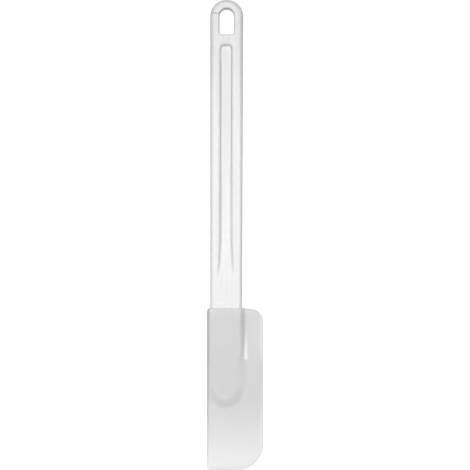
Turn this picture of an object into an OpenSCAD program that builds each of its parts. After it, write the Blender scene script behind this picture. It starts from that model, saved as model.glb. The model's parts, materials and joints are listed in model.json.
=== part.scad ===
// Flexible bowl and bench scraper: a stiff ribbed handle whose tang is locked inside a soft blade.
// It lies flat on its back. +Y runs along the handle to the hang hole, +Z is up.
// The origin is under the middle of the whole object, on the surface that it lies on.

/* [Overall] */
// Length from the tip of the blade to the top of the ring
overall_len = 350; // [320:1:380]
// Thickness of the ribbed handle and of the blade's sleeve
body_t = 10; // [9:0.5:12]

/* [Handle] */
// Width across the ring at the top
handle_top_w = 24.6; // [23:0.1:26]
// Width where the handle enters the sleeve
handle_mouth_w = 23.6; // [21:0.1:24]
// Thickness where the handle enters the sleeve
handle_mouth_t = 8; // [6.5:0.1:8.6]
// Distance from the middle of the blade to the handle's centreline, measured to the left
handle_offset = 6.4; // [5:0.1:6.4]
// Radius of the handle's long edges
handle_edge_r = 2.6; // [1:0.1:3]

/* [Hang hole] */
// Width of the hang hole
hole_w = 10.6; // [9:0.1:12]
// Height of the hang hole
hole_h = 19.2; // [16:0.1:22]
// Wall between the hang hole and the top of the ring
hole_top_wall = 6.8; // [5:0.1:8]
// Radius of the hang hole's two square corners
hole_corner_r = 2; // [1:0.1:3]

/* [Channels] */
// Width of the channel between the two ribs
channel_w = 8.5; // [7:0.1:10]
// Width of the channel where it has faded out
channel_flare_w = 12.8; // [10:0.1:15]
// Depth of the channel, the same on both faces
channel_d = 2.5; // [1:0.1:3]
// Wall between the hang hole and the channel
channel_bridge = 7.9; // [6:0.1:10]
// Distance above the sleeve at which the channel starts to fade
channel_fade_start = 50; // [45:1:60]
// Distance above the sleeve at which the channel has faded out
channel_fade_end = 17; // [10:1:30]
// Radius of the channel's two top corners
channel_corner_r = 2.2; // [1:0.1:3]

/* [Tang] */
// Length of full handle section inside the sleeve
shoulder_len = 8; // [5:0.5:12]
// Width of the tang
tang_w = 17.5; // [14:0.5:19]
// Thickness of the tang
tang_t = 4.2; // [4:0.1:5]
// Length of the tang below the shoulder
tang_len = 56; // [50:1:58]
// Diameter of the holes that the blade fills, which lock it on
lock_hole_d = 6.5; // [4:0.5:8]
// Distance between the lock holes
lock_hole_pitch = 15; // [12:1:16]
// Number of lock holes
lock_hole_count = 3; // [1:1:3]

/* [Blade] */
// Width of the blade
blade_w = 41.6; // [40:0.1:46]
// Length of the blade with its sleeve
blade_len = 121; // [115:1:130]
// Thickness of the lip beside the sleeve
lip_t = 3.9; // [2.6:0.1:4]
// Thickness of the lip at its free side
lip_side_t = 1.8; // [1.4:0.1:2.4]
// Thickness of the blade at its tip
tip_t = 1.8; // [1.4:0.1:2.4]
// Radius of the blade's large working corner
corner_tip_r = 19.8; // [15:0.1:20]
// Radius of the lip's top corner
corner_lip_r = 8.8; // [6:0.1:10]
// Radius of the blade's square tip corner
corner_heel_r = 2.2; // [1:0.1:4]
// Radius of the sleeve's corner at its mouth
corner_mouth_r = 1.5; // [1:0.1:3]

/* [Sleeve] */
// Radius of the sleeve's long edges
sleeve_edge_r = 4.2; // [3:0.1:4.6]
// Thickness of the boss where its round end starts
boss_low_t = 7.4; // [6.5:0.1:8]
// Length of the boss from the mouth to the bottom of its round end
boss_len = 73.4; // [72:0.1:76]

/* [Hidden] */
$fn = 96;
MARGIN = 1;

mid_z = body_t / 2;
top_y = overall_len / 2;
tip_y = -overall_len / 2;
mouth_y = tip_y + blade_len;
handle_x = -handle_offset;
ring_r = handle_top_w / 2;
ring_y = top_y - ring_r;
taper_start_y = ring_y - handle_edge_r;
side_slope = (handle_top_w - handle_mouth_w) / (taper_start_y - mouth_y);
shoulder_y = mouth_y - shoulder_len;
tang_end_y = shoulder_y - tang_len;

hole_top_y = top_y - hole_top_wall;
hole_low_y = hole_top_y - hole_h;
channel_top_y = hole_low_y - channel_bridge;
fade_start_y = mouth_y + channel_fade_start;
fade_end_y = mouth_y + channel_fade_end;
channel_floor_z = body_t - channel_d;
mouth_top_z = mid_z + handle_mouth_t / 2;

sleeve_half_w = blade_w / 2 - handle_offset;
boss_end_y = mouth_y - boss_len + sleeve_half_w;
boss_low_z = mid_z + boss_low_t / 2;
lip_top_z = mid_z + lip_t / 2;

// Height of the handle's top face along the stretch where it thins towards the sleeve
function face_z(y) = body_t - (body_t - mouth_top_z) * (fade_start_y - y) / (fade_start_y - mouth_y);

// Rectangle from one corner to the other
module rect(low, high) {
    translate(low) square(high - low);
}

// What is taken off a square corner at the origin to round it, for a shape that fills the first quadrant
module corner_waste(r) {
    difference() {
        rect([-MARGIN, -MARGIN], [r, r]);
        translate([r, r]) circle(r);
    }
}

// Rectangle with four rounded corners, centred on the origin
module round_rect(w, h, r) {
    difference() {
        rect([-w / 2, -h / 2], [w / 2, h / 2]);
        for (x = [0, 1], y = [0, 1])
            mirror([x, 0]) mirror([0, y]) translate([-w / 2, -h / 2]) corner_waste(r);
    }
}

// Extrudes a shape drawn in X and Z along Y
module along_y(y_low, y_high) {
    translate([0, y_high, 0]) rotate([90, 0, 0]) linear_extrude(y_high - y_low) children();
}

// Extrudes a shape drawn in Y and Z along X, over the whole width of the object
module across_x() {
    translate([-blade_w, 0, 0]) rotate([90, 0, 90]) linear_extrude(2 * blade_w) children();
}

// Half disc with a round rim that closes the top of the handle
module ring_blank() {
    translate([0, ring_y, mid_z])
        rotate_extrude(angle = 180)
        intersection() {
            round_rect(handle_top_w, body_t, handle_edge_r);
            rect([0, -body_t], [handle_top_w, body_t]);
        }
}

// Outline that narrows the handle from just below the ring to its shoulder
module taper_outline() {
    top_w = handle_mouth_w + side_slope * (top_y + MARGIN - mouth_y);
    low_w = handle_mouth_w + side_slope * (shoulder_y - MARGIN - mouth_y);
    polygon([
        [-top_w / 2, top_y + MARGIN],
        [top_w / 2, top_y + MARGIN],
        [low_w / 2, shoulder_y - MARGIN],
        [-low_w / 2, shoulder_y - MARGIN]
    ]);
}

// The handle's outside without its holes and channels, about its own centreline
module handle_blank() {
    intersection() {
        union() {
            ring_blank();
            translate([0, 0, mid_z])
                along_y(shoulder_y, ring_y)
                round_rect(handle_top_w, body_t, handle_edge_r);
        }
        linear_extrude(body_t) taper_outline();
    }
}

// Side view of the handle: full thickness on the ribs, thinner towards the sleeve
module handle_side() {
    mouth_low_z = body_t - mouth_top_z;
    polygon([
        [top_y + MARGIN, 0],
        [top_y + MARGIN, body_t],
        [fade_start_y, body_t],
        [mouth_y, mouth_top_z],
        [shoulder_y, mouth_top_z],
        [shoulder_y, mouth_low_z],
        [mouth_y, mouth_low_z],
        [fade_start_y, 0]
    ]);
}

// Hang hole: an arch over a straight-sided opening with two small corner radii
module hang_hole() {
    arch_r = hole_w / 2;
    arch_y = hole_top_y - arch_r;
    translate([0, 0, -MARGIN])
        linear_extrude(body_t + 2 * MARGIN)
        union() {
            translate([0, arch_y]) circle(arch_r);
            difference() {
                rect([-arch_r, hole_low_y], [arch_r, arch_y]);
                for (side = [0, 1])
                    mirror([side, 0]) translate([-arch_r, hole_low_y]) corner_waste(hole_corner_r);
            }
        }
}

// Outline of one channel: straight between the ribs, then spreading as it fades
module channel_outline() {
    difference() {
        polygon([
            [-channel_w / 2, channel_top_y],
            [channel_w / 2, channel_top_y],
            [channel_w / 2, fade_start_y],
            [channel_flare_w / 2, fade_end_y],
            [-channel_flare_w / 2, fade_end_y],
            [-channel_w / 2, fade_start_y]
        ]);
        for (side = [0, 1])
            mirror([side, 0])
                translate([-channel_w / 2, channel_top_y])
                mirror([0, 1])
                corner_waste(channel_corner_r);
    }
}

// Space between the ribs on the top face, whose floor rises to meet the surface
module channel() {
    intersection() {
        linear_extrude(body_t + MARGIN) channel_outline();
        across_x() polygon([
            [channel_top_y + MARGIN, channel_floor_z],
            [fade_start_y, channel_floor_z],
            [fade_end_y, face_z(fade_end_y)],
            [fade_end_y, body_t + MARGIN],
            [channel_top_y + MARGIN, body_t + MARGIN]
        ]);
    }
}

// Tongue inside the sleeve, with a round end and the lock holes
module tang() {
    tang_r = tang_w / 2;
    translate([0, 0, mid_z - tang_t / 2])
        linear_extrude(tang_t)
        difference() {
            union() {
                rect([-tang_r, tang_end_y + tang_r], [tang_r, shoulder_y + MARGIN]);
                translate([0, tang_end_y + tang_r]) circle(tang_r);
            }
            for (i = [0 : lock_hole_count - 1])
                translate([0, tang_end_y + tang_r + i * lock_hole_pitch]) circle(d = lock_hole_d);
        }
}

module handle() {
    color([0.95, 0.95, 0.94])
        translate([handle_x, 0, 0]) {
            difference() {
                intersection() {
                    handle_blank();
                    across_x() handle_side();
                }
                hang_hole();
                channel();
                translate([0, 0, body_t]) mirror([0, 0, 1]) channel();
            }
            tang();
        }
}

// Outline of the blade with a different radius at each corner
module blade_outline() {
    side_x = blade_w / 2;
    difference() {
        rect([-side_x, tip_y], [side_x, mouth_y]);
        translate([-side_x, tip_y]) corner_waste(corner_heel_r);
        translate([side_x, tip_y]) mirror([1, 0]) corner_waste(corner_tip_r);
        translate([-side_x, mouth_y]) mirror([0, 1]) corner_waste(corner_mouth_r);
        translate([side_x, mouth_y]) mirror([1, 0]) mirror([0, 1]) corner_waste(corner_lip_r);
    }
}

// Thin flexible part of the blade, thinning towards its free side and towards its tip
module lip() {
    side_x = blade_w / 2;
    root_x = handle_x + sleeve_half_w;
    intersection() {
        linear_extrude(body_t) blade_outline();
        along_y(tip_y, mouth_y) polygon([
            [-side_x, lip_top_z],
            [root_x, lip_top_z],
            [side_x, mid_z + lip_side_t / 2],
            [side_x, mid_z - lip_side_t / 2],
            [root_x, body_t - lip_top_z],
            [-side_x, body_t - lip_top_z]
        ]);
        across_x() polygon([
            [mouth_y, lip_top_z],
            [boss_end_y, lip_top_z],
            [tip_y, mid_z + tip_t / 2],
            [tip_y, mid_z - tip_t / 2],
            [boss_end_y, body_t - lip_top_z],
            [mouth_y, body_t - lip_top_z]
        ]);
    }
}

// Thick boss round the tang, with round long edges and a round end
module sleeve() {
    round_end_y = mouth_y - boss_len;
    intersection() {
        linear_extrude(body_t) intersection() {
            blade_outline();
            translate([handle_x, 0]) union() {
                rect([-sleeve_half_w, boss_end_y], [sleeve_half_w, mouth_y]);
                translate([0, boss_end_y]) circle(sleeve_half_w);
            }
        }
        translate([handle_x, 0, mid_z])
            along_y(round_end_y, mouth_y)
            round_rect(2 * sleeve_half_w, body_t, sleeve_edge_r);
        across_x() polygon([
            [mouth_y, body_t],
            [shoulder_y, body_t],
            [boss_end_y, boss_low_z],
            [round_end_y, lip_top_z],
            [round_end_y, body_t - lip_top_z],
            [boss_end_y, body_t - boss_low_z],
            [shoulder_y, 0],
            [mouth_y, 0]
        ]);
    }
}

module blade() {
    color([0.86, 0.86, 0.85])
        difference() {
            union() {
                lip();
                sleeve();
            }
            handle();
        }
}

handle();
blade();
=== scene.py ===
import json
import math

import bmesh
import bpy
import numpy as np
from mathutils import Matrix, Vector


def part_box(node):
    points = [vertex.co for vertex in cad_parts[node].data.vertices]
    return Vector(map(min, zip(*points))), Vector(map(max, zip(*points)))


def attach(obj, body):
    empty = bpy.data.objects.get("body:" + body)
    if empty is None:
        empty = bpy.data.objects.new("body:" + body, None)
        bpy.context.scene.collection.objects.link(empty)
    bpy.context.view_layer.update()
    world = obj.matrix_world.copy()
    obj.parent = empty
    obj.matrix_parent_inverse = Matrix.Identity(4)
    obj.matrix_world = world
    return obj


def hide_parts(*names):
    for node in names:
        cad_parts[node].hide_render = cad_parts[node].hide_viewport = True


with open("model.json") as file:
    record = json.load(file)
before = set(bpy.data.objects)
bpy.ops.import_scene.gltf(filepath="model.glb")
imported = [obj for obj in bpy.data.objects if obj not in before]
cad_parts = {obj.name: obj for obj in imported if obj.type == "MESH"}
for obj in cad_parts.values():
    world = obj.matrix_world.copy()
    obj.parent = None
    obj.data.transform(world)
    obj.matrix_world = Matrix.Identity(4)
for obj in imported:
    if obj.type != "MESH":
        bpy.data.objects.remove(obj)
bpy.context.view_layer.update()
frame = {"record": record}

MM = 0.001

# ---------------------------------------------------------------- sizes from the frame

handle_low, handle_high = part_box("handle")
blade_low, blade_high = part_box("blade")
mounts = {m["name"]: m for m in frame["record"]["mounts"]}

TOP_Y = handle_high.y
TANG_END_Y = handle_low.y
MOUTH_Y = blade_high.y
TIP_Y = blade_low.y
MID_Z = (handle_low.z + handle_high.z) / 2
HALF_T = (handle_high.z - handle_low.z) / 2
HANDLE_X = (handle_low.x + handle_high.x) / 2
RING_R = (handle_high.x - handle_low.x) / 2
RING_Y = TOP_Y - RING_R
SIDE_X = blade_high.x
HOLE_Y = mounts["hang_hole"]["pos_m"][1]

# ---------------------------------------------------------------- sizes of the mouldings

# Handle
MOUTH_HALF_W = 11.8 * MM
MOUTH_HALF_T = 4.0 * MM
# Its long edges are rounder at the ring than at the mouth
EDGE_R = 2.9 * MM
MOUTH_EDGE_R = 2.1 * MM
# Inside the blade it steps down to its tang at this shoulder
SHOULDER_Y = MOUTH_Y - 8 * MM
TANG_HALF_W = 8.75 * MM
TANG_HALF_T = 2.1 * MM
TANG_EDGE_R = 0.6 * MM
LOCK_HOLE_R = 3.25 * MM
LOCK_HOLE_PITCH = 15 * MM
LOCK_HOLE_COUNT = 3
# Below this it narrows towards the mouth
TAPER_Y = RING_Y - 2.2 * MM
# Each outside wall leans in from the parting line, where a fine witness ridge is left
DRAFT = 0.12 * MM
RIDGE = 0.05 * MM
RIDGE_HALF_H = 0.09 * MM

# The handle is set in the blade a little off straight, turned about this point
LEAN = 0.002
LEAN_Y = 57 * MM

# Knit line across the ring's left limb, where the melt met round the hole. Angles are in degrees
KNIT_ANGLE = 168.0
KNIT_STEP = 2.6
KNIT_D = 0.5 * MM

# Stations along each straight side of the ring, and round its arch
RING_SIDE_COUNT = 14
ARCH_COUNT = 65

# Hang hole
HOLE_HALF_W = 5.3 * MM
HOLE_HALF_H = 9.6 * MM
HOLE_CORNER_R = 2.0 * MM
HOLE_RIM_R = 1.0 * MM

# Channel between the ribs, on both faces
CHANNEL_X = -0.3 * MM
CHANNEL_TOP_Y = HOLE_Y - HOLE_HALF_H - 8.2 * MM
CHANNEL_HALF_W = 3.95 * MM
CHANNEL_FLARE_HALF_W = 6.4 * MM
CHANNEL_FLARE_CURVE = 1.4
CHANNEL_D = 2.4 * MM
CHANNEL_CORNER_R = 2.2 * MM
# The corners at its top end are longer than they are wide
END_STRETCH = 1.5
# Its walls drop steeply, with a softer part that starts further out
WALL_W = 1.15 * MM
SOFT_W = 1.9 * MM
SOFT_SHARE = 0.2
# The walls are wider on the lower half of the channel
LOW_WALL_W = 2.1 * MM
WALL_CHANGE_Y = MOUTH_Y + 104 * MM
WALL_CHANGE_L = 12 * MM
# Stretch inside and outside a wall's middle where the mesh is fine
FINE_INSIDE = 2.4 * MM
FINE_OUTSIDE = 1.2 * MM
# Where the ring and the bar are joined, just above the channel
JOIN_Y = CHANNEL_TOP_Y + 3.2 * MM
# The channel runs out between these
FADE_START_Y = MOUTH_Y + 50 * MM
FADE_END_Y = MOUTH_Y + 17 * MM
# Hair line left across the channel floor by an insert in the mould
INSERT_Y = MOUTH_Y + 139.3 * MM
INSERT_H = 0.05 * MM
INSERT_HALF_W = 0.12 * MM

# Blade
LIP_HALF_T = 1.95 * MM
LIP_SIDE_HALF_T = 1.5 * MM
TIP_HALF_T = 0.9 * MM
# How far in its rounded edge starts: all round, on the left of the lip, and on the left of the sleeve
EDGE_INSET = 0.7 * MM
LEFT_INSET = 1.7 * MM
SLEEVE_EDGE_R = 3.0 * MM
# The most that the edge drops, as a share of the height, and its smaller drop on this strip at the mouth
EDGE_DROP_SHARE = 0.84
MOUTH_DROP = 0.40 * MM
MOUTH_EDGE_L = 0.6 * MM
# Room between the handle and the blade, which opens a little at the mouth
FIT_GAP = 0.07 * MM
MOUTH_GAP = 0.08 * MM
OPEN_GAP = 0.10 * MM
# The free side and the tip thin further close to the edge
FEATHER_D = 0.6 * MM
FEATHER_W = 5.0 * MM
# Its outline: how far the lip's top lies below the mouth, and the corners
LIP_TOP_DROP = 1.1 * MM
TIP_CORNER_R = 19.8 * MM
LIP_CORNER_R = 8.8 * MM
HEEL_CORNER_R = 2.2 * MM
MOUTH_CORNER_R = 2.4 * MM
# The same corners on the line where the edge's rounding starts
HEEL_INNER_R = 0.5 * MM
MOUTH_INNER_R = 0.6 * MM
# The mouth is bowed, and then steps down to the lip
BOW_H = 0.35 * MM
BOW_HALF_W = 12 * MM
LIP_STEP_X = 5.6 * MM
LIP_STEP_L = 4.2 * MM
LIP_STEP_INSET = 0.5 * MM
# The sleeve reaches as far right of the handle as the blade does left of it
SLEEVE_RIGHT_X = HANDLE_X + (SIDE_X + HANDLE_X)

# Boss: an egg shape whose flank runs out into the lip
BOSS_X = HANDLE_X - 0.2 * MM
BOSS_HALF_W = 12.25 * MM
BOSS_HALF_W_LEFT = 13.4 * MM
BOSS_END_Y = MOUTH_Y - 50 * MM
BOSS_END_L = 21.5 * MM
BOSS_MOUTH_HALF_T = 4.62 * MM
BOSS_END_HALF_T = 2.95 * MM
# Half the width of the flank's slope: above the step, below it and round the boss's end
FLANK_RUN = 2.3 * MM
FLANK_LOW_RUN = 5.2 * MM
FLANK_END_RUN = 4.0 * MM
FLANK_END_L = 15 * MM
STEP_Y = MOUTH_Y - 38 * MM
STEP_L = 8 * MM
# Below this the lip thins to the tip
THIN_START_Y = BOSS_END_Y - 8 * MM
# Above the step it thins to its side, which comes in over this length
SIDE_THIN_L = 20 * MM
# The left edge widens from the lip's inset to the sleeve's, from here up
LEFT_CHANGE_Y = BOSS_END_Y - 24 * MM
LEFT_CHANGE_L = 22 * MM

# Thin streak at the foot of the flank, a wedge that widens downwards and stops short at the step
STREAK_X = 7.7 * MM
STREAK_LEAN = 0.02
STREAK_TOP_Y = MOUTH_Y - 12 * MM
STREAK_END_Y = MOUTH_Y - 38 * MM
STREAK_HALF_W = 1.5 * MM
# Its width at the top as a share of the whole, how far out it fades and the length in which it stops
STREAK_TOP_SHARE = 0.35
STREAK_EDGE = 1.4
STREAK_STOP_L = 1.5 * MM
STREAK_D = 0.3 * MM

# Mesh clean-up: points closer than this are one, and edges sharper than this stay sharp
WELD = 1e-7
SHARP_ANGLE = 50


def mix(a, b, t):
    return a + (b - a) * t


def ramp(t):
    """0 below 0, 1 above 1, with a smooth S between."""
    t = np.clip(t, 0.0, 1.0)
    return t * t * (3 - 2 * t)


# ---------------------------------------------------------------- mesh helpers


class Shell:
    """Half of a moulding above its parting plane, gathered as grids and mirrored into a closed mesh."""

    def __init__(self):
        self.verts = []
        self.faces = []

    def grid(self, points):
        """Adds a grid of quads from points, rows x columns x 3, with z counted from the parting plane."""
        rows, cols = points.shape[:2]
        start = sum(len(v) for v in self.verts)
        self.verts.append(points.reshape(-1, 3))
        for i in range(rows - 1):
            for j in range(cols - 1):
                a = start + i * cols + j
                self.faces.append((a, a + 1, a + cols + 1, a + cols))

    def mesh(self, name, centre_x):
        """The upper half and its mirror image as one closed mesh."""
        up = np.concatenate(self.verts)
        count = len(up)
        down = up * [1, 1, -1]
        verts = np.concatenate([up, down]) + [centre_x, 0, MID_Z]
        faces = self.faces + [tuple(count + k for k in f[::-1]) for f in self.faces]
        mesh = bpy.data.meshes.new(name)
        mesh.from_pydata(verts.tolist(), [], faces)
        bm = bmesh.new()
        bm.from_mesh(mesh)
        bmesh.ops.remove_doubles(bm, verts=bm.verts, dist=WELD)
        bmesh.ops.dissolve_degenerate(bm, edges=bm.edges, dist=WELD)
        bmesh.ops.recalc_face_normals(bm, faces=bm.faces)
        bm.to_mesh(mesh)
        bm.free()
        return mesh


def with_z(plan, height):
    """Joins plan points, n x 2, and their heights into n x 3."""
    return np.concatenate([plan, np.broadcast_to(height, plan.shape[:-1])[..., None]], axis=-1)


def arc(centre, radius, start, end, count):
    """Points along an arc from start to end degrees, both ends included."""
    a = np.radians(np.linspace(start, end, count))
    return np.stack([centre[0] + radius * np.cos(a), centre[1] + radius * np.sin(a)], axis=-1)


def leaned(points):
    """Points of the handle turned to its slight lean."""
    return points + (points[..., 1:2] - LEAN_Y) * [LEAN, 0, 0]


def along(path, stops):
    """Points at the given fractions of a path's length."""
    steps = np.linalg.norm(np.diff(path[:, :2], axis=0), axis=1)
    length = np.concatenate([[0], np.cumsum(steps)])
    return np.stack([np.interp(np.asarray(stops) * length[-1], length, c) for c in path.T], axis=-1)


def object_from(mesh, name, node, material):
    """Links a finished mesh as a piece that stands for one CAD node."""
    piece = bpy.data.objects.new(name, mesh)
    bpy.context.scene.collection.objects.link(piece)
    mesh.materials.clear()
    mesh.materials.append(material)
    mesh.shade_smooth()
    mesh.set_sharp_from_angle(angle=math.radians(SHARP_ANGLE))
    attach(piece, "root")
    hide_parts(node)


# ---------------------------------------------------------------- handle


def handle_half_w(y):
    """Half the handle's width: full on the ring, then narrowing evenly towards the sleeve."""
    t = np.maximum((TAPER_Y - y) / (TAPER_Y - MOUTH_Y), 0)
    return RING_R + (MOUTH_HALF_W - RING_R) * t


def handle_half_t(y):
    """Half the handle's thickness: full on the ribs, then thinning towards the sleeve."""
    t = np.clip((FADE_START_Y - y) / (FADE_START_Y - MOUTH_Y), 0, 1)
    return mix(HALF_T, MOUTH_HALF_T, t * t * (2 - t))


def edge_r(y):
    """Radius of the handle's long edges, which are crisper towards the sleeve."""
    return mix(EDGE_R, MOUTH_EDGE_R, np.clip((JOIN_Y - y) / (JOIN_Y - MOUTH_Y), 0, 1))


def fading(y):
    """0 where the channel is whole, 1 where it has run out."""
    return np.clip((FADE_START_Y - y) / (FADE_START_Y - FADE_END_Y), 0, 1)


def low_wall(y):
    """0 on the upper half of the channel, 1 on the lower half, where its walls are wider."""
    return ramp((WALL_CHANGE_Y - y) / WALL_CHANGE_L + 0.5)


def channel_half_w(y):
    return mix(CHANNEL_HALF_W, CHANNEL_FLARE_HALF_W, fading(y) ** CHANNEL_FLARE_CURVE)


def channel_depth(x, y):
    """How far the face is sunk between the ribs, with drafted walls and rounded top corners."""
    r = CHANNEL_CORNER_R
    side = np.abs(x - CHANNEL_X) - channel_half_w(y) + r
    end = (y - CHANNEL_TOP_Y) / END_STRETCH + r
    outside = np.hypot(np.maximum(side, 0), np.maximum(end, 0)) + np.minimum(np.maximum(side, end), 0) - r
    wall_w = mix(WALL_W, LOW_WALL_W, low_wall(y))
    wall = mix(ramp(0.5 - outside / wall_w), ramp(1 - outside / SOFT_W), SOFT_SHARE)
    floor = CHANNEL_D * (1 - ramp(fading(y)))
    line = INSERT_H * np.exp(-(((y - INSERT_Y) / INSERT_HALF_W) ** 2))
    return (floor - line) * wall


def edge_profile(half_t, radius, draft=DRAFT, ridge=RIDGE):
    """Insets and heights of an outside edge, from the parting plane up to the face."""
    angles = np.radians(np.linspace(0, 90, 9))
    inset = np.concatenate([[0, ridge], draft + radius * (1 - np.cos(angles))])
    rise = half_t - radius + radius * np.sin(angles)
    return inset, np.concatenate([[0, RIDGE_HALF_H], rise])


def section(y, half_w, half_t, radius, face_x, sunk=0.0, draft=DRAFT, ridge=RIDGE):
    """One cross-section of a bar above the parting plane, from its left side to its right side."""
    inset, rise = edge_profile(half_t, radius, draft, ridge)
    left = np.stack([inset - half_w, np.full_like(inset, y), rise], axis=-1)
    right = left[::-1] * [-1, 1, 1]
    height = half_t - np.broadcast_to(sunk, face_x.shape)
    face = np.stack([face_x, np.full_like(face_x, y), height], axis=-1)
    return np.concatenate([left, face[1:-1], right])


def handle_columns(y):
    """The x positions across the flat face, close together where the channel's walls stand."""
    edge = handle_half_w(y) - DRAFT - edge_r(y)
    wall = channel_half_w(y)

    def half(end):
        return np.concatenate([
            np.linspace(0, wall - FINE_INSIDE, 4)[:-1],
            np.linspace(wall - FINE_INSIDE, wall + FINE_OUTSIDE, 22)[:-1],
            np.linspace(wall + FINE_OUTSIDE, end, 6),
        ])

    return CHANNEL_X + np.concatenate([-half(edge + CHANNEL_X)[:0:-1], half(edge - CHANNEL_X)])


def handle_row(y):
    x = handle_columns(y)
    return section(y, handle_half_w(y), handle_half_t(y), edge_r(y), x, channel_depth(x, y))


def handle_levels():
    """The y positions of the cross-sections, from the ring down to the shoulder."""
    stretches = (
        (JOIN_Y, CHANNEL_TOP_Y + 1.6 * MM, 2),
        (CHANNEL_TOP_Y + 0.8 * MM, CHANNEL_TOP_Y - 3.0 * MM, 20),
        (CHANNEL_TOP_Y - 5.0 * MM, INSERT_Y + 1.0 * MM, 20),
        (INSERT_Y + 0.4 * MM, INSERT_Y - 0.4 * MM, 9),
        (INSERT_Y - 1.0 * MM, FADE_START_Y + 2.0 * MM, 30),
        (FADE_START_Y, FADE_END_Y, 30),
        (FADE_END_Y - 1.5 * MM, SHOULDER_Y, 14),
    )
    return np.concatenate([np.linspace(start, end, count) for start, end, count in stretches])


def tang_rows(gap):
    """Cross-sections of the tang with its round end. A gap makes it larger on every side."""
    half_w = TANG_HALF_W + gap
    half_t = TANG_HALF_T + gap
    end_y = TANG_END_Y + TANG_HALF_W
    columns = handle_columns(SHOULDER_Y)
    columns = columns / columns[-1]
    turn = np.radians(np.linspace(0, 84, 13))
    levels = [(SHOULDER_Y - gap, half_w), ((SHOULDER_Y + end_y) / 2, half_w)]
    levels += [(end_y - half_w * math.sin(a), half_w * math.cos(a)) for a in turn]
    rows = []
    for y, w in levels:
        # The last rows are too narrow for the full edge radius
        r = min(TANG_EDGE_R, 0.6 * w)
        rows.append(section(y, w, half_t, r, columns * (w - r), draft=0.0, ridge=0.0))
    # Closes the tip down to the parting plane
    rows.append(rows[-1] * [1, 1, 0])
    return rows


def ring_angles():
    """Angles round the ring's arch, close together at the knit line."""
    even = np.linspace(0, 180, ARCH_COUNT)[1:-1]
    near = KNIT_ANGLE + KNIT_STEP * np.array([-1.0, -0.5, 0.0, 0.5, 1.0])
    return np.concatenate([even[even < near[0] - 1], near, even[even > near[-1] + 1]])


def knit_share(angles):
    """1 at the knit line and 0 away from it, for angles round the ring."""
    return np.clip(1 - np.abs(angles - KNIT_ANGLE) / KNIT_STEP, 0, 1)


def arch(centre, radius):
    """Points round an arch at the ring's angles."""
    a = np.radians(ring_angles())
    return np.stack([centre[0] + radius * np.cos(a), centre[1] + radius * np.sin(a)], axis=-1)


def ring_stations():
    """Points round the ring's outline with their outward normals, from the right join to the left one."""
    side_y = np.linspace(JOIN_Y, RING_Y, RING_SIDE_COUNT)
    right = np.stack([handle_half_w(side_y), side_y, np.ones_like(side_y), np.zeros_like(side_y)], axis=-1)
    top = arch((0, RING_Y), RING_R)
    turn = (top - [0, RING_Y]) / RING_R
    left = right[::-1] * [-1, 1, -1, 1]
    return np.concatenate([right, np.concatenate([top, turn], axis=-1), left])


def hole_loop(offset, bottom_count):
    """The hang hole's outline grown by an offset: a point for each ring station, then the bottom edge."""
    low = HOLE_Y - HOLE_HALF_H + HOLE_CORNER_R
    arch_y = HOLE_Y + HOLE_HALF_H - HOLE_HALF_W
    corner_x = HOLE_HALF_W - HOLE_CORNER_R
    r = HOLE_CORNER_R + offset
    side = np.concatenate([
        arc((corner_x, low), r, -45, 0, 9),
        [[HOLE_HALF_W + offset, arch_y]],
    ])
    right = along(side, np.linspace(0, 1, RING_SIDE_COUNT))
    top = arch((0, arch_y), HOLE_HALF_W + offset)
    left = right[::-1] * [-1, 1]
    edge = np.concatenate([arc((-corner_x, low), r, -135, -90, 9), arc((corner_x, low), r, -90, -45, 9)])
    bottom = along(edge, np.linspace(0, 1, bottom_count + 2)[1:-1])
    return np.concatenate([right, top, left, bottom])


def closed(points):
    """A loop with its first point added at its end."""
    return np.concatenate([points, points[:1]])


def handle_shell():
    """The handle above its parting plane: bar and tang, outside of the ring, then face and hang hole."""
    shell = Shell()
    rows = [handle_row(y) for y in handle_levels()]
    shell.grid(np.array(rows + tang_rows(0.0)))

    # Outside of the ring, sunk a little at the knit line
    stations = ring_stations()
    sunk = np.zeros(len(stations))
    sunk[RING_SIDE_COUNT:-RING_SIDE_COUNT] = KNIT_D * knit_share(ring_angles())
    inset, rise = edge_profile(HALF_T, EDGE_R)
    band = np.array([
        with_z(stations[:, :2] - stations[:, 2:] * (i + sunk[:, None]), h) for i, h in zip(inset, rise)
    ])
    band[-1, :, 2] -= sunk
    shell.grid(band)

    # Face of the ring, between the bar's first row and the hang hole, and the hole's rim and wall
    face = rows[0][len(inset):-len(inset)]
    face_loop = np.concatenate([band[-1], face])
    rim = [(0.0, 0.0)]
    for a in np.radians(np.linspace(0, 90, 8)):
        rim.append((DRAFT + HOLE_RIM_R * (1 - math.cos(a)), HALF_T - HOLE_RIM_R * (1 - math.sin(a))))
    loops = [with_z(hole_loop(offset, len(face)), h) for offset, h in rim]
    for loop in loops[-3:]:
        loop[:len(sunk), 2] -= sunk
    # Two loops on the way out across the face
    loops += [mix(loops[-1], face_loop, t) for t in (0.3, 0.65)] + [face_loop]
    shell.grid(np.array([closed(loop) for loop in loops]))
    shell.verts = [leaned(v) for v in shell.verts]
    return shell


# ---------------------------------------------------------------- blade


def boss_distance(x, y):
    """Roughly how far a point is inside the middle of the boss's flank."""
    across = x - BOSS_X
    half_w = np.where(across < 0, BOSS_HALF_W_LEFT, BOSS_HALF_W)
    down = np.maximum(BOSS_END_Y - y, 0) / BOSS_END_L
    f = np.hypot(across / half_w, down)
    slope = np.hypot(across / half_w**2, down / BOSS_END_L)
    return (1 - f) * f / np.maximum(slope, 1e-6)


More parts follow.
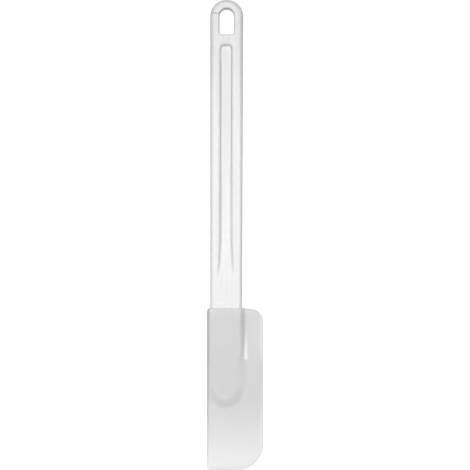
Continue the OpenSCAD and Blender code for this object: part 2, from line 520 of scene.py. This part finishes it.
def streak(x, y):
    """1 along the middle of the thin streak and 0 away from it."""
    t = np.clip((STREAK_TOP_Y - y) / (STREAK_TOP_Y - STREAK_END_Y), 0, 1)
    half_w = STREAK_HALF_W * mix(STREAK_TOP_SHARE, 1.0, t)
    stop = ramp((y - STREAK_END_Y) / STREAK_STOP_L + 1)
    middle = STREAK_X + (y - STREAK_END_Y) * STREAK_LEAN
    return ramp(STREAK_EDGE - np.abs(x - middle) / half_w) * t * stop


def free_edge_distance(x, y):
    """Distance in from the free side and the tip, round the large corner."""
    side = x - SIDE_X + TIP_CORNER_R
    end = TIP_Y + TIP_CORNER_R - y
    round_corner = TIP_CORNER_R - np.hypot(np.maximum(side, 0), np.maximum(end, 0))
    return round_corner - np.minimum(np.maximum(side, end), 0)


def blade_half_t(x, y):
    """Half the blade's thickness: a thin lip that thins to its side and tip, and the boss over the tang."""
    to_side = np.clip((x - SLEEVE_RIGHT_X) / (SIDE_X - SLEEVE_RIGHT_X), 0, 1)
    high_up = ramp((y - STEP_Y) / SIDE_THIN_L + 0.5)
    to_tip = np.clip((THIN_START_Y - y) / (THIN_START_Y - TIP_Y), 0, 1)
    lip = mix(LIP_HALF_T, TIP_HALF_T, to_tip) - (LIP_HALF_T - LIP_SIDE_HALF_T) * to_side * high_up
    feather = np.clip(1 - free_edge_distance(x, y) / FEATHER_W, 0, 1) ** 2
    lip = lip - STREAK_D * streak(x, y) - FEATHER_D * feather
    to_shoulder = np.clip((y - BOSS_END_Y) / (SHOULDER_Y - BOSS_END_Y), 0, 1)
    boss = mix(BOSS_END_HALF_T, BOSS_MOUTH_HALF_T, to_shoulder)
    low_run = mix(FLANK_LOW_RUN, FLANK_END_RUN, ramp((BOSS_END_Y - y) / FLANK_END_L))
    run = mix(low_run, FLANK_RUN, ramp((y - STEP_Y) / STEP_L + 0.5))
    return mix(lip, boss, ramp(0.5 + boss_distance(x, y) / (2 * run)))


def pair(outer, inner):
    """Joins points on the outline with those where the edge's rounding starts, into n x 4."""
    return np.concatenate([outer, inner], axis=-1)


def corner(outer_centre, outer_r, inner_centre, inner_r, start, end, count=25):
    outer = arc(outer_centre, outer_r, start, end, count)
    return pair(outer, arc(inner_centre, inner_r, start, end, count))


def blade_sides():
    """The blade's outline as four sides between the middles of its corners.

    Each row is a point on the outline and the matching point where the edge's rounding starts.
    """
    x0, x1 = -SIDE_X, SIDE_X
    top_left_y = MOUTH_Y - BOW_H
    lip_y = MOUTH_Y - LIP_TOP_DROP
    e = EDGE_INSET

    mouth_out = (x0 + MOUTH_CORNER_R, top_left_y - MOUTH_CORNER_R)
    mouth_in = (x0 + SLEEVE_EDGE_R + MOUTH_INNER_R, top_left_y - e - MOUTH_INNER_R)
    heel = (x0 + HEEL_CORNER_R, TIP_Y + HEEL_CORNER_R)
    heel_in = (x0 + LEFT_INSET + HEEL_INNER_R, TIP_Y + e + HEEL_INNER_R)
    tip = (x1 - TIP_CORNER_R, TIP_Y + TIP_CORNER_R)
    shoulder = (x1 - LIP_CORNER_R, lip_y - LIP_CORNER_R)

    def mouth_corner(start, end):
        return corner(mouth_out, MOUTH_CORNER_R, mouth_in, MOUTH_INNER_R, start, end)

    def heel_corner(start, end):
        return corner(heel, HEEL_CORNER_R, heel_in, HEEL_INNER_R, start, end)

    def tip_corner(start, end):
        return corner(tip, TIP_CORNER_R, tip, TIP_CORNER_R - e, start, end)

    def lip_corner(start, end):
        return corner(shoulder, LIP_CORNER_R, shoulder, LIP_CORNER_R - e, start, end)

    # Left side: the inset is wide along the thick sleeve and narrow along the lip
    out_y = np.linspace(mouth_out[1], heel[1], 400)
    in_y = np.linspace(mouth_in[1], heel_in[1], 400)
    in_x = x0 + mix(LEFT_INSET, SLEEVE_EDGE_R, ramp((in_y - LEFT_CHANGE_Y) / LEFT_CHANGE_L))
    left_line = np.stack([np.full_like(out_y, x0), out_y, in_x, in_y], axis=-1)
    left = np.concatenate([mouth_corner(135, 180)[:-1], left_line, heel_corner(180, 225)[1:]])

    bottom = np.concatenate([heel_corner(225, 270), tip_corner(270, 315)])
    right = np.concatenate([lip_corner(45, 0), tip_corner(0, -45)])

    # Top side: bowed across the sleeve's mouth, then down to the lip
    end_x = LIP_STEP_X
    bow_x = np.linspace(mouth_out[0], end_x, 80)
    bow_in_x = np.linspace(mouth_in[0], end_x - LIP_STEP_INSET, 80)

    def bow(x):
        return MOUTH_Y - BOW_H * ((x - HANDLE_X) / BOW_HALF_W) ** 2

    bow_line = np.stack([bow_x, bow(bow_x), bow_in_x, bow(bow_x) - e], axis=-1)
    step_x = np.linspace(end_x, end_x + LIP_STEP_L, 40)
    step_in_x = np.linspace(end_x - LIP_STEP_INSET, end_x + LIP_STEP_L, 40)
    step_y = mix(bow(end_x), lip_y, ramp((step_x - end_x) / LIP_STEP_L))
    step_line = np.stack([step_x, step_y, step_in_x, step_y - e], axis=-1)
    top = np.concatenate([mouth_corner(135, 90)[:-1], bow_line, step_line[1:], lip_corner(90, 45)])
    return left, bottom, right, top


def by_axis(side, axis, levels):
    """Points of a side where its outline crosses the given levels of x or y."""
    order = np.argsort(side[:, axis])
    return np.stack([np.interp(levels, side[order, axis], side[order, c]) for c in range(4)], axis=-1)


def spread(stops):
    """Joins stretches of (start, end, step) into one list of levels."""
    parts = [np.linspace(a, b, max(2, round(abs(b - a) / step) + 1))[:-1] for a, b, step in stops]
    return np.concatenate(parts + [[stops[-1][1]]])


def remap(levels, low, high):
    """Levels stretched so that they run from low to high."""
    return low + (levels - levels[0]) / (levels[-1] - levels[0]) * (high - low)


def blade_shell():
    """The blade above its parting plane: its face, spanned between the four sides, and the rounded edge."""
    left, bottom, right, top = blade_sides()
    y_levels = spread([
        (left[0, 1], left[0, 1] - 3 * MM, 0.25 * MM),
        (left[0, 1] - 3 * MM, SHOULDER_Y + 2 * MM, 0.8 * MM),
        (SHOULDER_Y + 2 * MM, SHOULDER_Y - 2 * MM, 0.4 * MM),
        (SHOULDER_Y - 2 * MM, BOSS_END_Y + 6 * MM, 1.5 * MM),
        (BOSS_END_Y + 6 * MM, BOSS_END_Y - 30 * MM, 0.6 * MM),
        (BOSS_END_Y - 30 * MM, left[-1, 1] + 2 * MM, 1.5 * MM),
        (left[-1, 1] + 2 * MM, left[-1, 1], 0.25 * MM),
    ])
    x_levels = spread([
        (top[0, 0], top[0, 0] + 3 * MM, 0.25 * MM),
        (top[0, 0] + 3 * MM, 0, 1.0 * MM),
        (0, 11 * MM, 0.4 * MM),
        (11 * MM, top[-1, 0], 0.6 * MM),
    ])
    west = by_axis(left, 1, y_levels)
    east = by_axis(right, 1, remap(y_levels, right[0, 1], right[-1, 1]))
    north = by_axis(top, 0, x_levels)
    south = by_axis(bottom, 0, remap(x_levels, bottom[0, 0], bottom[-1, 0]))

    u = ((x_levels - x_levels[0]) / (x_levels[-1] - x_levels[0]))[None, :, None]
    v = ((y_levels - y_levels[0]) / (y_levels[-1] - y_levels[0]))[:, None, None]
    nw, ne, sw, se = north[0, 2:], north[-1, 2:], south[0, 2:], south[-1, 2:]
    plan = (
        mix(north[None, :, 2:], south[None, :, 2:], v)
        + mix(west[:, None, 2:], east[:, None, 2:], u)
        - mix(mix(nw, ne, u), mix(sw, se, u), v)
    )
    shell = Shell()
    shell.grid(with_z(plan, blade_half_t(plan[..., 0], plan[..., 1])))

    rim = closed(np.concatenate([west[:-1], south[:-1], east[:0:-1], north[:0:-1]]))
    outer, inner = rim[:, :2], rim[:, 2:]
    inset = np.linalg.norm(outer - inner, axis=-1)
    height = blade_half_t(inner[:, 0], inner[:, 1])
    at_mouth = (outer[:, 1] > MOUTH_Y - MOUTH_EDGE_L) & (outer[:, 0] < SIDE_X / 3)
    drop = np.where(at_mouth, MOUTH_DROP, np.minimum(inset, EDGE_DROP_SHARE * height))
    shrink = (1 - RIDGE / inset)[:, None]
    rings = [
        with_z(inner + (outer - inner) * shrink * math.sin(a), height - drop * (1 - math.cos(a)))
        for a in np.radians(np.linspace(0, 90, 10))
    ]
    rings.append(with_z(inner + (outer - inner) * shrink, np.full(len(rim), RIDGE_HALF_H)))
    rings.append(with_z(outer, 0.0))
    shell.grid(np.array(rings))
    return shell


def socket_shell():
    """What is hollowed out of the blade: room for the handle's end and its tang, flared at the mouth."""
    shell = Shell()
    rows = []
    levels = (MOUTH_Y + 2 * MM, MOUTH_Y, MOUTH_Y - 0.5 * MM, SHOULDER_Y - 0.1 * MM)
    for y, gap in zip(levels, (OPEN_GAP, MOUTH_GAP, FIT_GAP, FIT_GAP)):
        x = handle_columns(y)
        half_w = handle_half_w(y) + gap
        half_t = handle_half_t(y) + gap
        rows.append(section(y, half_w, half_t, edge_r(y), x * (1 + gap / x[-1]), ridge=0.0))
    # Closes the end above the mouth
    rows.insert(0, rows[0] * [1, 1, 0])
    shell.grid(leaned(np.array(rows + tang_rows(FIT_GAP))))
    return shell


def lock_pins(gap):
    """Upright pins where the tang's lock holes are, longer than it is thick. A gap makes them thinner."""
    bm = bmesh.new()
    radius = LOCK_HOLE_R - gap
    for i in range(LOCK_HOLE_COUNT):
        centre = leaned(np.array([0.0, TANG_END_Y + TANG_HALF_W + i * LOCK_HOLE_PITCH, 0.0]))
        place = Matrix.Translation(Vector(centre) + Vector((HANDLE_X, 0, MID_Z)))
        bmesh.ops.create_cone(
            bm, cap_ends=True, segments=64, radius1=radius, radius2=radius,
            depth=2 * TANG_HALF_T + 2 * MM, matrix=place,
        )
    mesh = bpy.data.meshes.new("lock_pins")
    bm.to_mesh(mesh)
    bm.free()
    return mesh


def add_attribute(mesh, name, values):
    """Stores one value per vertex, for a material to read."""
    layer = mesh.attributes.new(name, "FLOAT", "POINT")
    layer.data.foreach_set("value", values.astype(np.float32))


def hollowed(mesh, cutter_mesh, name):
    """The mesh with the cutter taken out of it."""
    body = bpy.data.objects.new(name, mesh)
    cutter = bpy.data.objects.new(name + "_cutter", cutter_mesh)
    for o in (body, cutter):
        bpy.context.scene.collection.objects.link(o)
    cut = body.modifiers.new("hollow", "BOOLEAN")
    cut.operation = "DIFFERENCE"
    cut.solver = "EXACT"
    cut.object = cutter
    depsgraph = bpy.context.evaluated_depsgraph_get()
    made = bpy.data.meshes.new_from_object(body.evaluated_get(depsgraph))
    for o in (body, cutter):
        bpy.data.objects.remove(o)
    return made


# ---------------------------------------------------------------- tones over the pieces

# How the paler tone, painted light that stands for light coming through, grows as the blade thins
THIN_CURVE = 1.6
# Right of and below these, the slope of the rounded edge counts as thin too, so its shade is lifted by
# painted light
FREE_EDGE_X = -SIDE_X + 5.5 * MM
FREE_EDGE_TOP_Y = MOUTH_Y - 3 * MM
# The elastomer is made paler close to the mouth and where the handle's full end is under it: painted light
MOUTH_PAINTED_LIGHT = 0.25
MOUTH_PAINTED_LIGHT_L = 6 * MM
HANDLE_END_PAINTED_LIGHT = 0.13
HANDLE_END_PAINTED_LIGHT_L = 2 * MM
HANDLE_END_PAINTED_LIGHT_LEAD = 0.8
# Painted shade: its thick left side is darker, most of all away from the tip
SIDE_SHADE_L = 85 * MM
SIDE_SHADE_W = 2.6 * MM


def points_of(mesh):
    """A mesh's vertices, n x 3."""
    return np.array([v.co for v in mesh.vertices])


def tone_handle(mesh):
    """Stores how deep in the channel each point is, as a share of its depth, and where the knit line is."""
    co = points_of(mesh)
    across = co[:, 0] - HANDLE_X - (co[:, 1] - LEAN_Y) * LEAN
    on_bar = (co[:, 1] < CHANNEL_TOP_Y + 3 * MM) & (co[:, 1] > FADE_END_Y)
    add_attribute(mesh, "sunk_share", np.where(on_bar, channel_depth(across, co[:, 1]) / CHANNEL_D, 0.0))
    add_attribute(mesh, "knit_share", knit_share(np.degrees(np.arctan2(co[:, 1] - RING_Y, across))))


def tone_blade(mesh):
    """Stores how thin the blade is, from 0 where thick to 1 at a sharp edge, with painted light added, and
    a mask for painted shade on its thick left side.
    """
    co = points_of(mesh)
    x, y, z = co.T
    full = 2 * blade_half_t(x, y)
    # Painted light on the free edge's rounding, which counts as thin
    on_free_edge = (x > FREE_EDGE_X) & (y < FREE_EDGE_TOP_Y)
    thickness = np.where(on_free_edge, np.minimum(full, 2 * np.abs(z - MID_Z)), full)
    thinness_and_painted_light = (2 * LIP_HALF_T - thickness) / (2 * LIP_HALF_T - 2 * TIP_HALF_T)
    # Painted highlight along the streak: it gets the thin tone at full strength
    thinness_and_painted_light = np.maximum(np.clip(thinness_and_painted_light, 0, 1) ** THIN_CURVE, streak(x, y))
    # Painted light near the mouth and over the handle's full end
    near_mouth = MOUTH_PAINTED_LIGHT * np.clip(1 - (MOUTH_Y - y) / MOUTH_PAINTED_LIGHT_L, 0, 1)
    over_handle = ramp((y - SHOULDER_Y) / HANDLE_END_PAINTED_LIGHT_L + HANDLE_END_PAINTED_LIGHT_LEAD)
    over_handle = over_handle * ramp((MOUTH_HALF_W + MM - np.abs(x - HANDLE_X)) / MM)
    add_attribute(mesh, "thinness_and_painted_light", np.maximum(thinness_and_painted_light, near_mouth + HANDLE_END_PAINTED_LIGHT * over_handle))
    # Painted shade on the thick left side, strongest away from the tip
    away_from_tip = np.clip((y - TIP_Y) / SIDE_SHADE_L, 0, 1)
    add_attribute(mesh, "left_edge_shade", away_from_tip * np.clip(1 - (x + SIDE_X) / SIDE_SHADE_W, 0, 1))


# ---------------------------------------------------------------- materials

# The plastic's darker and paler tones low on the bar, and greyer ones towards the ring, which are painted
# shade
BAR_TONES = ((0.805, 0.805, 0.80), (0.86, 0.86, 0.855))
RING_SHADE_TONES = ((0.69, 0.69, 0.685), (0.755, 0.755, 0.75))
RING_SHADE_FROM_Y = 0.06
RING_SHADE_TO_Y = 0.165
# The channel's floor is greyer, painted shade in the recess, which comes in between these places along it
CHANNEL_SHADE_TONE = (0.735, 0.735, 0.73)
CHANNEL_SHADE_FROM_Y = -0.01
CHANNEL_SHADE_TO_Y = 0.10
# Painted shade in the knit line's groove
KNIT_SHADE_TONE = (0.45, 0.45, 0.44)

# The elastomer's darker and paler tones where it is thick, and its paler tones where it is thin, which are
# painted light coming through
THICK_TONES = ((0.686, 0.688, 0.686), (0.698, 0.700, 0.697))
THIN_PAINTED_LIGHT_TONES = ((0.965, 0.966, 0.963), (0.975, 0.976, 0.973))
# Painted shade on the thick left side
LEFT_EDGE_SHADE_TONE = (0.50, 0.502, 0.50)


class Nodes:
    """Short calls for building one material's node tree."""

    def __init__(self, name):
        self.material = bpy.data.materials.new(name)
        self.material.use_nodes = True
        self.tree = self.material.node_tree
        self.shader = self.tree.nodes["Principled BSDF"]
        self.place = self.tree.nodes.new("ShaderNodeTexCoord").outputs["Object"]

    def link(self, source, target):
        self.tree.links.new(source, target)

    def noise(self, scale, detail=3.0, roughness=0.5, stretch=(1, 1, 1)):
        mapping = self.tree.nodes.new("ShaderNodeMapping")
        mapping.inputs["Scale"].default_value = stretch
        self.link(self.place, mapping.inputs["Vector"])
        node = self.tree.nodes.new("ShaderNodeTexNoise")
        node.inputs["Scale"].default_value = scale
        node.inputs["Detail"].default_value = detail
        node.inputs["Roughness"].default_value = roughness
        self.link(mapping.outputs["Vector"], node.inputs["Vector"])
        return node.outputs["Fac"]

    def span(self, source, low, high, to_low, to_high):
        """Maps low..high of a value to to_low..to_high, with a smooth S."""
        node = self.tree.nodes.new("ShaderNodeMapRange")
        node.interpolation_type = "SMOOTHSTEP"
        node.inputs["From Min"].default_value = low
        node.inputs["From Max"].default_value = high
        node.inputs["To Min"].default_value = to_low
        node.inputs["To Max"].default_value = to_high
        self.link(source, node.inputs["Value"])
        return node.outputs["Result"]

    def math(self, operation, a, b):
        node = self.tree.nodes.new("ShaderNodeMath")
        node.operation = operation
        for socket, value in zip(node.inputs, (a, b)):
            if isinstance(value, (int, float)):
                socket.default_value = value
            else:
                self.link(value, socket)
        return node.outputs["Value"]

    def blend(self, factor, a, b):
        """Mixes two colours by a factor. A colour is a tuple or another output."""
        node = self.tree.nodes.new("ShaderNodeMix")
        node.data_type = "RGBA"
        self.link(factor, node.inputs["Factor"])
        for name, value in (("A", a), ("B", b)):
            socket = [s for s in node.inputs if s.name == name and s.type == "RGBA"][0]
            if isinstance(value, tuple):
                socket.default_value = (*value, 1.0)
            else:
                self.link(value, socket)
        return [s for s in node.outputs if s.type == "RGBA"][0]

    def bump(self, height, strength, distance, under=None):
        node = self.tree.nodes.new("ShaderNodeBump")
        node.inputs["Strength"].default_value = strength
        node.inputs["Distance"].default_value = distance
        self.link(height, node.inputs["Height"])
        if under is not None:
            self.link(under, node.inputs["Normal"])
        return node.outputs["Normal"]

    def along_y(self):
        node = self.tree.nodes.new("ShaderNodeSeparateXYZ")
        self.link(self.place, node.inputs["Vector"])
        return node.outputs["Y"]

    def attribute(self, name):
        node = self.tree.nodes.new("ShaderNodeAttribute")
        node.attribute_name = name
        return node.outputs["Fac"]


def handle_plastic():
    """White polypropylene: satin, faintly mottled, with flow marks along it and fine scuffs, and painted
    shade towards the ring, in the channel and at the knit line.
    """
    n = Nodes("handle_plastic")
    mottle = n.noise(160, 4, 0.6)
    flow = n.noise(520, 2, 0.5, stretch=(1.0, 0.025, 1.0))
    tone = n.math("ADD", n.math("MULTIPLY", mottle, 0.5), n.math("MULTIPLY", flow, 0.5))
    bar_tone = n.blend(n.span(tone, 0.35, 0.65, 0, 1), *BAR_TONES)
    ring_shade_tone = n.blend(n.span(tone, 0.35, 0.65, 0, 1), *RING_SHADE_TONES)
    # Painted shade: the plastic turns greyer towards the ring
    colour = n.blend(n.span(n.along_y(), RING_SHADE_FROM_Y, RING_SHADE_TO_Y, 0, 1), bar_tone, ring_shade_tone)
    # Painted shade on the channel floor, by its depth, high up the bar
    high_up = n.span(n.along_y(), CHANNEL_SHADE_FROM_Y, CHANNEL_SHADE_TO_Y, 0, 1)
    colour = n.blend(n.math("MULTIPLY", n.attribute("sunk_share"), high_up), colour, CHANNEL_SHADE_TONE)
    # Painted shade along the knit line
    colour = n.blend(n.attribute("knit_share"), colour, KNIT_SHADE_TONE)
    n.link(colour, n.shader.inputs["Base Color"])
    scuffs = n.noise(700, 2, 0.5, stretch=(1.0, 0.25, 1.0))
    rough = n.math("ADD", n.span(mottle, 0.3, 0.7, 0.30, 0.38), n.span(scuffs, 0.6, 0.75, 0.0, 0.10))
    n.link(rough, n.shader.inputs["Roughness"])
    fine = n.noise(2600, 2, 0.5)
    normal = n.bump(mottle, 0.25, 0.00015)
    normal = n.bump(fine, 0.12, 0.00003, normal)
    n.link(normal, n.shader.inputs["Normal"])
    n.shader.inputs["IOR"].default_value = 1.49
    n.shader.inputs["Subsurface Weight"].default_value = 0.12
    n.shader.inputs["Subsurface Radius"].default_value = (1.0, 0.98, 0.95)
    n.shader.inputs["Subsurface Scale"].default_value = 0.0012
    return n.material


def blade_elastomer():
    """Milky elastomer: soft grey-white where thick, paler where thin as painted light coming through, with
    more painted light at the mouth and painted shade on its left side.
    """
    n = Nodes("blade_elastomer")
    cloud = n.noise(70, 4, 0.55)
    # Painted light: paler where thin, near the mouth, over the handle's end and along the streak
    thin = n.attribute("thinness_and_painted_light")
    thick_tone = n.blend(n.span(cloud, 0.3, 0.7, 0, 1), *THICK_TONES)
    thin_tone = n.blend(n.span(cloud, 0.3, 0.7, 0, 1), *THIN_PAINTED_LIGHT_TONES)
    colour = n.blend(thin, thick_tone, thin_tone)
    # Painted shade on the left side
    colour = n.blend(n.attribute("left_edge_shade"), colour, LEFT_EDGE_SHADE_TONE)
    n.link(colour, n.shader.inputs["Base Color"])
    smear = n.noise(420, 3, 0.5, stretch=(1.0, 0.35, 1.0))
    n.link(n.span(smear, 0.3, 0.75, 0.40, 0.48), n.shader.inputs["Roughness"])
    fine = n.noise(1800, 2, 0.5)
    normal = n.bump(cloud, 0.18, 0.0003)
    normal = n.bump(fine, 0.10, 0.00004, normal)
    n.link(normal, n.shader.inputs["Normal"])
    n.shader.inputs["IOR"].default_value = 1.41
    n.shader.inputs["Subsurface Weight"].default_value = 0.35
    n.shader.inputs["Subsurface Radius"].default_value = (1.0, 1.0, 0.98)
    n.shader.inputs["Subsurface Scale"].default_value = 0.0025
    return n.material


# ---------------------------------------------------------------- the pieces

solid_handle = handle_shell().mesh("handle_solid", HANDLE_X)
handle_mesh = hollowed(solid_handle, lock_pins(0.0), "handle_moulding")
object_from(handle_mesh, "handle_moulding", "handle", handle_plastic())
tone_handle(handle_mesh)

solid_blade = blade_shell().mesh("blade_solid", 0.0)
socket = socket_shell().mesh("blade_socket", HANDLE_X)
keyed_socket = hollowed(socket, lock_pins(FIT_GAP), "keyed_socket")
blade_mesh = hollowed(solid_blade, keyed_socket, "blade_moulding")
object_from(blade_mesh, "blade_moulding", "blade", blade_elastomer())
tone_blade(blade_mesh)

# ---------------------------------------------------------------- studio

FLOOR_TONE = 0.7
FLOOR_GLOW = 0.65
WORLD_LIGHT = 0.08
WORLD_TONE = 0.96
CAMERA_UP = 1.1
SENSOR = 36.0


def floor_card():
    """Pale matt card under the object. The camera sees it lit from below too, as a light table is."""
    n = Nodes("floor_card")
    grain = n.noise(240, 4, 0.6)
    n.link(n.blend(grain, (FLOOR_TONE,) * 3, (FLOOR_TONE + 0.03,) * 3), n.shader.inputs["Base Color"])
    n.shader.inputs["Roughness"].default_value = 0.9
    n.shader.inputs["Specular IOR Level"].default_value = 0.1
    n.shader.inputs["Emission Color"].default_value = (1, 1, 1, 1)
    seen = n.tree.nodes.new("ShaderNodeLightPath").outputs["Is Camera Ray"]
    n.link(n.math("MULTIPLY", seen, FLOOR_GLOW), n.shader.inputs["Emission Strength"])
    return n.material


def add_floor():
    bm = bmesh.new()
    bmesh.ops.create_grid(bm, x_segments=8, y_segments=8, size=3.0)
    mesh = bpy.data.meshes.new("floor")
    bm.to_mesh(mesh)
    bm.free()
    mesh.materials.append(floor_card())
    floor = bpy.data.objects.new("floor", mesh)
    bpy.context.scene.collection.objects.link(floor)


def add_area(name, place, aim, size, watts):
    """A square soft light that faces a point."""
    light = bpy.data.lights.new(name, "AREA")
    light.shape = "SQUARE"
    light.size = size
    light.energy = watts
    lamp = bpy.data.objects.new(name, light)
    bpy.context.scene.collection.objects.link(lamp)
    lamp.location = place
    lamp.rotation_euler = (Vector(aim) - Vector(place)).to_track_quat("-Z", "Y").to_euler()


def add_world():
    """Dim, even surroundings that light the object. The camera sees them as a pale tone past the floor."""
    world = bpy.data.worlds.new("studio")
    bpy.context.scene.world = world
    world.use_nodes = True
    tree = world.node_tree
    lit = tree.nodes["Background"]
    lit.inputs["Color"].default_value = (1, 1, 1, 1)
    lit.inputs["Strength"].default_value = WORLD_LIGHT
    seen = tree.nodes.new("ShaderNodeBackground")
    seen.inputs["Color"].default_value = (WORLD_TONE, WORLD_TONE, WORLD_TONE, 1)
    either = tree.nodes.new("ShaderNodeMixShader")
    tree.links.new(tree.nodes.new("ShaderNodeLightPath").outputs["Is Camera Ray"], either.inputs["Fac"])
    tree.links.new(lit.outputs["Background"], either.inputs[1])
    tree.links.new(seen.outputs["Background"], either.inputs[2])
    tree.links.new(either.outputs["Shader"], tree.nodes["World Output"].inputs["Surface"])


def add_camera():
    """Looks straight down from high up, with the object's length filling the frame."""
    camera = bpy.data.cameras.new("camera")
    camera.sensor_width = SENSOR
    camera.lens = SENSOR * CAMERA_UP / (TOP_Y - TIP_Y)
    eye = bpy.data.objects.new("camera", camera)
    bpy.context.scene.collection.objects.link(eye)
    eye.location = (0, 0, MID_Z + CAMERA_UP)
    bpy.context.scene.camera = eye


add_floor()
add_world()
add_area("overhead", place=(-0.06, 0.15, 1.50), aim=(0, 0, 0), size=1.2, watts=22.8)
add_area("left_fill", place=(-0.34, -0.20, 0.20), aim=(0, -0.08, 0), size=0.12, watts=0.11)
add_camera()
bpy.context.scene.view_settings.view_transform = "Standard"
